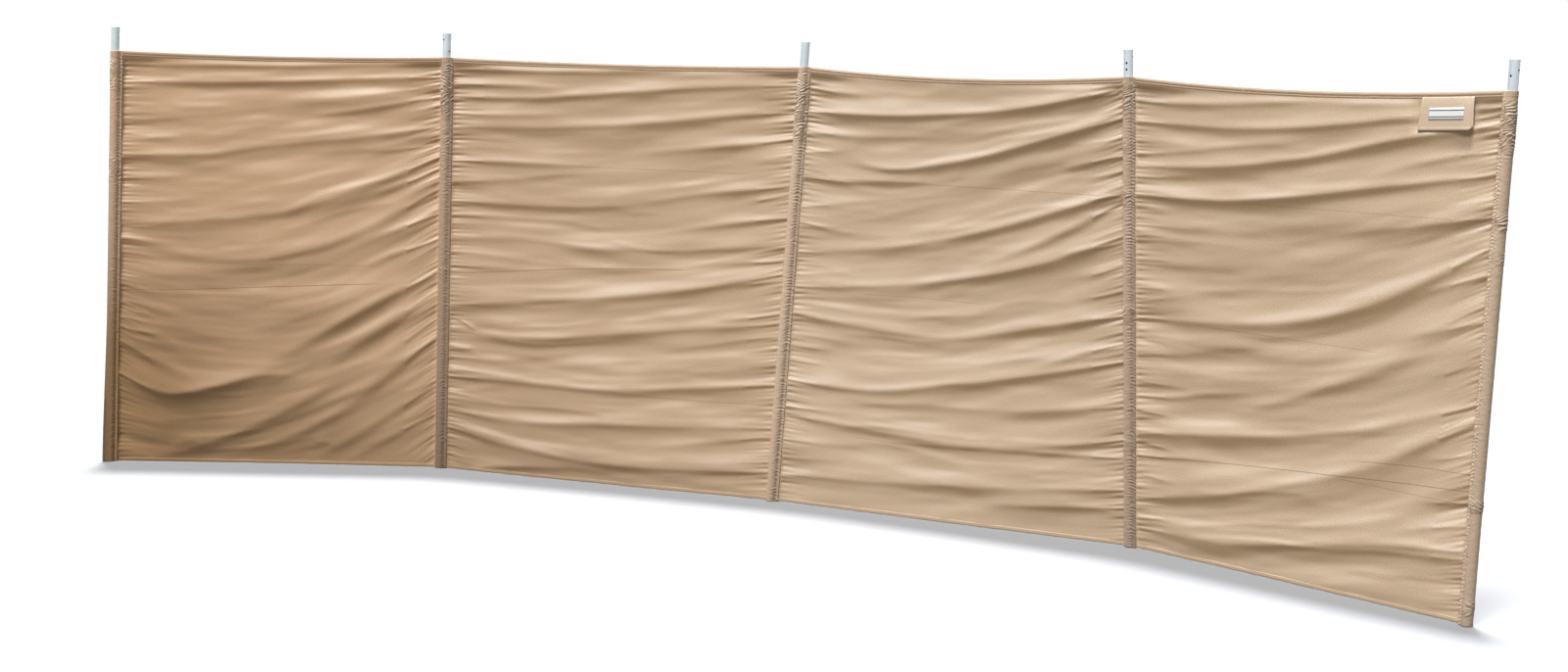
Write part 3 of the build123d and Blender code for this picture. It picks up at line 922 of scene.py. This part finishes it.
for pole in POLES:
    # The last sleeve's band is on its left, and the others' on their right
    bay, side = (pole, 1) if pole in BAYS else (LAST_BAY, -1)
    along, front = bay_directions(bay)
    swell = sleeve_swell(pole, side)
    outline = np.concatenate([section + normals * swell[..., None], inner[None], inner[None]])
    levels = np.concatenate([heights, (CLOTH_TOP, GROUND_GAP)])[:, None]
    points = pole_point(pole, levels) + side * along * outline[..., :1] + front * outline[..., 1:]
    # The last row and column join the first ones
    faces = grid_faces(np.pad(grid_index(points), (0, 1), mode="wrap"))
    cloth_uv = np.stack(np.broadcast_arrays(girth, levels), axis=-1)
    sleeve = cloth_piece(f"canvas_sleeve_{pole}", points, faces, cloth_uv)
    tube_depth, band_depth = sleeve_depths[pole]
    give_material(
        sleeve, canvas_material(f"sleeve_canvas_{pole}", tube_depth, 1.04, 1.10, painted_sides=True),
        canvas_material(f"band_canvas_{pole}", band_depth, 1.03, 1.05, painted_sides=True), painted_shade_canvas,
    )
    sleeve.data.polygons.foreach_set("material_index", face_kinds(pole, len(faces)))
    turn_outwards(sleeve)
    note_slopes(sleeve)
    # The sleeve's painted light and shade, kept at its points for its materials
    keep_values(sleeve, "painted_sleeve_light", np.concatenate([painted_sleeve_tone(pole, side) ** 2.2, np.ones((2, columns))]))
    seams = []
    stitch_heights = np.arange(GROUND_GAP + 0.004, CLOTH_TOP - 0.003, STITCH_PITCH)
    for number, column in enumerate((3, 1)):
        reach, out = band_half[column]
        rise = np.interp(stitch_heights, heights, swell[:, column])
        for face in (1, -1):
            places = pole_point(pole, stitch_heights) + side * along * reach
            places = places + face * front * (out + rise + 0.0002)[:, None]
            row_name = f"seam_{pole}_{number}_{face}"
            seams.append(stitch_row(row_name, places, face * front, along=np.array([0, 0, 1.0])))
    join_all(sleeve, seams)
    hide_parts(f"sleeve_{pole}", f"seam_band_{pole}")
    if pole in (3, 4):
        # These two sleeves go with no bay: their placing is baked into their points
        axis = pole_leans[pole - 1]
        middle = pole_point(pole, 0.7)
        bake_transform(sleeve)
    else:
        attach(sleeve, f"bay_{bay}")

# ---------------- hems
# The top edge of each bay is turned over a narrow tape and stitched, and the foot has a narrower turned
# hem. Both are flat strips that follow the cloth between its two seams. Painted shade darkens the top edge
# and the groove under the top hem's fold, and the underside of the foot hem.

HEM_STEP = 0.005       # between stations along a hem
hem_canvas = canvas_material("hem_canvas", depth=1.0)
# Darker canvas for the painted shade along the hems
hem_painted_shade_canvas = canvas_material("hem_painted_shade_canvas", depth=0.40)
# Each section runs along the front to the cloth's edge, round it, and back behind: out to the front, then up
top_section = [
    (0.0010, -0.0165), (0.0016, -0.0155), (0.0018, -0.0115), (0.0009, -0.0103), (0.0022, -0.0088),
    (0.0024, -0.0055), (0.0021, -0.0018), (0.0010, -0.0002), (-0.0010, -0.0002), (-0.0020, -0.0020),
    (-0.0022, -0.0070), (-0.0018, -0.0150), (-0.0010, -0.0165),
]
foot_half = [(0.0003, 0.0130), (0.0007, 0.0110), (0.0010, 0.0060), (0.0009, 0.0020), (0.0004, 0.0002)]
foot_section = foot_half + [(-out, up) for out, up in foot_half[::-1]]


def hem_line(bay, edge, share):
    """Where a hem runs: the height of the cloth's edge, and how far out the panel stands there."""
    height = top_edge(bay, share) if edge == "top" else GROUND_GAP + 0 * share
    return height, np.interp(share, *panel_edges[bay, edge])


def hem_strip(bay, edge, section, canvas, painted_shade_faces):
    """A sewn strip along the top or the foot edge of a bay's cloth, from its section, with painted shade on
    some faces.
    """
    width = bay_width(bay)
    share = np.linspace(0, 1, round(width / HEM_STEP))
    random = np.random.default_rng(90 + bay)
    uneven = smooth_noise(random, share * 38, share * 0 + 0.5)
    height, middle = hem_line(bay, edge, share)
    points = np.stack([
        bay_point(bay, share, height + up + 0.0004 * uneven, middle + 0.0002 * uneven + out)
        for out, up in section
    ])
    index = grid_index(points)
    faces = grid_faces(np.pad(index, ((0, 1), (0, 0)), mode="wrap"))
    faces += [index[::-1, 0].tolist(), index[:, -1].tolist()]
    ups = np.array(section)[:, 1:]
    cloth_uv = np.stack(np.broadcast_arrays(share * width, ups), axis=-1)
    hem = cloth_piece(f"{edge}_hem_strip_{bay}", points, faces, cloth_uv)
    give_material(hem, canvas, hem_painted_shade_canvas)
    kinds = np.zeros(len(faces), np.int32)
    stations = len(share) - 1
    # These rows of faces take the darker canvas as painted shade
    for row in painted_shade_faces:
        kinds[row * stations:(row + 1) * stations] = 1
    hem.data.polygons.foreach_set("material_index", kinds)
    turn_outwards(hem)
    return hem


for bay in BAYS:
    width = bay_width(bay)
    front = bay_directions(bay)[1]
    share = np.arange(0.004, width - 0.003, STITCH_PITCH) / width
    for edge, section, canvas, painted_shade_faces, up, out in (
        ("top", top_section, hem_canvas, (2, 6, 7, 8), -0.0078, 0.0024),
        ("foot", foot_section, tan_canvas[bay], (4,), 0.0098, 0.0008),
    ):
        hem = hem_strip(bay, edge, section, canvas, painted_shade_faces)
        height, middle = hem_line(bay, edge, share)
        rows = []
        for face in (1, -1):
            places = bay_point(bay, share, height + up, middle + face * out)
            rows.append(stitch_row(f"{hem.name}_row_{face}", places, face * front))
        join_all(hem, rows)
        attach(hem, f"bay_{bay}")
    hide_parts(f"top_hem_{bay}")
    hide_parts(f"bottom_hem_{bay}")

# ---------------- label flap
# A small double flap of canvas hangs from the top hem near the right end, with a stitched border and a
# woven label. The label here is plain: two navy stripes on off-white.

LABEL_WIDTH = 0.096
LABEL_HEIGHT = 0.030
LABEL_BELOW_HEM = 0.028
BORDER = 0.0055        # from the flap's edge to its row of stitches
flap_canvas = canvas_material("flap_canvas", depth=1.12, green=1.07, blue=1.12)


def flap_surface(across, down, lift):
    """Points on the flap: metres from its right edge and below the hem, and lift off its middle."""
    slope = down / FLAP_DROP
    # The lower right corner is rounded, and the right edge hangs a little inwards
    rounded = 0.0045 * soft_step(1 - across / 0.012) * soft_step(1 - (FLAP_DROP - down) / 0.012)
    from_right = FLAP_FROM_EDGE + across + slope * (0.011 * across / FLAP_WIDTH - 0.006) + rounded
    share = 1 - from_right / bay_width(LAST_BAY)
    height = top_edge(LAST_BAY, share) - TOP_HEM + 0.0025 - down + rounded
    out = billow(LAST_BAY, share, height) + 0.0012 + 0.0026 * (1 - np.exp(-down / 0.018)) + 0.0028 * slope
    curl = 0.0010 * np.sin(7 * across / FLAP_WIDTH + 1) * slope + 0.0006 * np.sin(across / 0.011) * slope
    return bay_point(LAST_BAY, share, height, out + curl + lift)


def flap_patch(name, right, top, across, down, lift):
    """Sheet that lies on the flap, its right and top edges at distances from the flap's own."""
    across, down = np.meshgrid(across, down)
    points = flap_surface(right + across, top + down, lift(across, down))
    return cloth_piece(name, points, grid_faces(grid_index(points)), np.stack([across, down], axis=-1))


def flap_border(across, down):
    """Lift of the flap, which is thicker along its turned border."""
    to_edge = np.minimum(np.minimum(across, FLAP_WIDTH - across), FLAP_DROP - down)
    return 0.0007 * soft_step(to_edge / 0.0015) - 0.0006 * soft_step((to_edge - 0.0065) / 0.002)


flap = flap_patch(
    "label_flap_canvas", 0, 0, np.linspace(0, FLAP_WIDTH, 53), np.linspace(0, FLAP_DROP, 31), flap_border
)
note_slopes(flap)
thicken(flap, 0.0012)
give_material(flap, flap_canvas)
down_side = np.arange(0.003, FLAP_DROP - 0.006, STITCH_PITCH)
along_foot = np.arange(0.003, FLAP_WIDTH - 2 * BORDER, STITCH_PITCH) + BORDER
borders = [
    stitch_row(f"flap_row_{name}", flap_surface(across, down, 0.0014), bay_directions(LAST_BAY)[1])
    for name, across, down in (
        ("right", BORDER, down_side),
        ("left", FLAP_WIDTH - BORDER, down_side),
        ("foot", along_foot, FLAP_DROP - BORDER),
    )
]
join_all(flap, borders)
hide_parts("label_flap")
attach(flap, f"bay_{LAST_BAY}")

woven, tree, shader = new_material("woven_label", {"Roughness": 0.55, "Sheen Weight": 0.2})
label_map = add_node(tree, "ShaderNodeUVMap", uv_map="cloth").outputs["UV"]
down = add_node(tree, "ShaderNodeSeparateXYZ", {0: label_map}).outputs["Y"]
stripes = []
for middle in (0.0065, 0.0235):
    away = math_node(tree, "ABSOLUTE", math_node(tree, "SUBTRACT", down, middle))
    stripes.append(shade(tree, away, 0.0017, 0.0013))
stripes = math_node(tree, "MAXIMUM", *stripes)
tone = mix_colours(tree, stripes, (0.80, 0.79, 0.75, 1), (0.035, 0.055, 0.12, 1))
ribs = math_node(tree, "SINE", math_node(tree, "MULTIPLY", down, 2 * pi / 0.0005))
colour_and_relief(tree, shader, tone, ribs, 0.00008, 0.6)

label = flap_patch(
    "woven_label_tape", (FLAP_WIDTH - LABEL_WIDTH) / 2, LABEL_BELOW_HEM, np.linspace(0, LABEL_WIDTH, 25),
    np.linspace(0, LABEL_HEIGHT, 9), lambda across, down: 0.0017,
)
thicken(label, 0.0006)
give_material(label, woven)
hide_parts("woven_label")
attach(label, f"bay_{LAST_BAY}")

# ---------------- floor, camera and light
# A plain pale floor and white surroundings. A standing person sees the front from eight metres away, a
# little turned in the hand. Two soft lights come from high in front, to the left, one from behind, and the
# strongest from overhead, a little behind the row, so that its shadow lies along its foot.


def seen_directly(tree):
    """1 for what is seen itself or in a mirror or glass, and 0 for light that falls on other things."""
    rays = add_node(tree, "ShaderNodeLightPath").outputs
    seen = math_node(tree, "MAXIMUM", rays["Is Camera Ray"], rays["Is Glossy Ray"])
    return math_node(tree, "MAXIMUM", seen, rays["Is Transmission Ray"])


bpy.ops.mesh.primitive_plane_add(size=400.0, location=(0, 0, 0))
floor = bpy.context.object
floor.name = "floor"
floor_white, tree, shader = new_material("floor_white", {"Roughness": 1.0, "Specular IOR Level": 0.0})
floor_tone = mix_colours(tree, seen_directly(tree), (0.070, 0.070, 0.070, 1), (0.230, 0.236, 0.246, 1))
tree.links.new(floor_tone, shader.inputs["Base Color"])
give_material(floor, floor_white)

bpy.ops.object.camera_add(location=(0.030, -8.170, 1.524))
camera = bpy.context.object
camera.name = "front_camera"
camera.data.sensor_width = 36.0
camera.data.lens = 58.8
look = Matrix.Rotation(radians(90 - 6.88), 4, "X") @ Matrix.Rotation(radians(1.164), 4, "Z")
camera.rotation_euler = look.to_euler()
bpy.context.scene.camera = camera

# Turns about X, Y and Z in degrees, strength, and width in the sky in degrees
for name, turns, energy, width in (
    ("key_light", (38, 0, -36), 2.15, 20),
    ("overhead_light", (16, 0, -22), 3.9, 12),
    ("back_light", (-32, 8, 0), 2.1, 24),
    ("high_back_light", (-9, 0.6, 0), 7.5, 6),
):
    bpy.ops.object.light_add(type="SUN", rotation=[radians(turn) for turn in turns])
    lamp = bpy.context.object
    lamp.name = name
    lamp.data.energy = energy
    lamp.data.angle = radians(width)

world = bpy.data.worlds.new("white_room")
bpy.context.scene.world = world
world.use_nodes = True
tree = world.node_tree
background = tree.nodes["Background"]
background.inputs["Color"].default_value = (1, 1, 1, 1)
strength = math_node(tree, "MULTIPLY_ADD", seen_directly(tree), 0.81, 0.19)
tree.links.new(strength, background.inputs["Strength"])
bpy.context.scene.view_settings.view_transform = "Standard"
